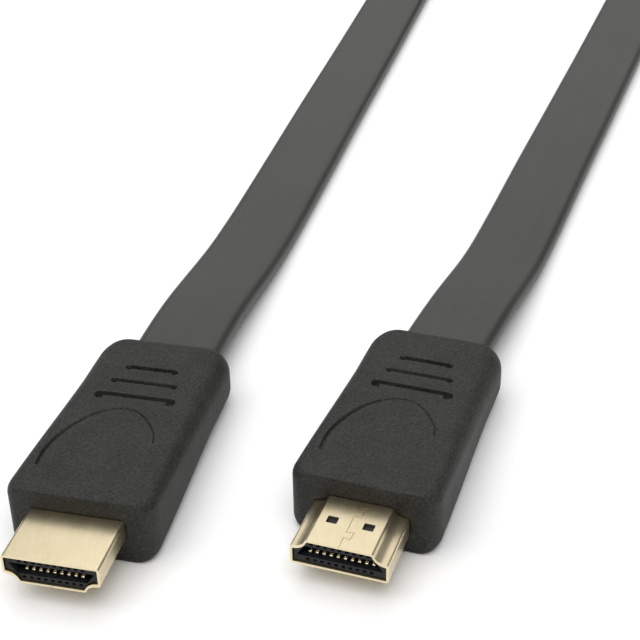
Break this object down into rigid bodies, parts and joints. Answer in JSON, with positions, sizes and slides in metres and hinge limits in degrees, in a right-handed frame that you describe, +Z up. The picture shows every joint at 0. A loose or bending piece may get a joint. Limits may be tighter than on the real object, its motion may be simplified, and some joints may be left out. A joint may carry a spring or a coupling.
{
  "type": "hdmi cable",
  "caption": "Flat ribbon HDMI cable: two black moulded plugs with gold-plated shells lying side by side, the spare cord wound into a tied coil behind them.",
  "frame": {"origin": "on the floor under the middle of the two plugs' common box, without the cord", "axes": "+Z up from the floor; -Y is the way the plugs' mouths point, within 10 to 16 degrees; +X from the plug with its wide face up to the plug with its narrow face up"},
  "size_m": [0.1596, 0.4174, 0.0177],
  "materials": {
    "moulding": "fine-grained matte",
    "plated_shell": "satin gold plating",
    "insulator": "matte moulded",
    "contacts": "bright gold plating",
    "cord_sheath": "satin",
    "tie_strap": "woven"
  },
  "bodies": {
    "root": {"plug_a_moulding": "moulding", "plug_a_shell": "plated_shell", "plug_a_insulator": "insulator", "plug_a_contact_01": "contacts", "plug_a_contact_02": "contacts", "plug_a_contact_03": "contacts", "plug_a_contact_04": "contacts", "plug_a_contact_05": "contacts", "plug_a_contact_06": "contacts", "plug_a_contact_07": "contacts", "plug_a_contact_08": "contacts", "plug_a_contact_09": "contacts", "plug_a_contact_10": "contacts", "plug_a_contact_11": "contacts", "plug_a_contact_12": "contacts", "plug_a_contact_13": "contacts", "plug_a_contact_14": "contacts", "plug_a_contact_15": "contacts", "plug_a_contact_16": "contacts", "plug_a_contact_17": "contacts", "plug_a_contact_18": "contacts", "plug_a_contact_19": "contacts", "plug_b_moulding": "moulding", "plug_b_shell": "plated_shell", "plug_b_insulator": "insulator", "plug_b_contact_01": "contacts", "plug_b_contact_02": "contacts", "plug_b_contact_03": "contacts", "plug_b_contact_04": "contacts", "plug_b_contact_05": "contacts", "plug_b_contact_06": "contacts", "plug_b_contact_07": "contacts", "plug_b_contact_08": "contacts", "plug_b_contact_09": "contacts", "plug_b_contact_10": "contacts", "plug_b_contact_11": "contacts", "plug_b_contact_12": "contacts", "plug_b_contact_13": "contacts", "plug_b_contact_14": "contacts", "plug_b_contact_15": "contacts", "plug_b_contact_16": "contacts", "plug_b_contact_17": "contacts", "plug_b_contact_18": "contacts", "plug_b_contact_19": "contacts", "cord_from_plug_a": "cord_sheath", "cord_from_plug_b": "cord_sheath", "cord_coil": "cord_sheath", "coil_tie_1": "tie_strap", "coil_tie_2": "tie_strap"}
  },
  "joints": []
}
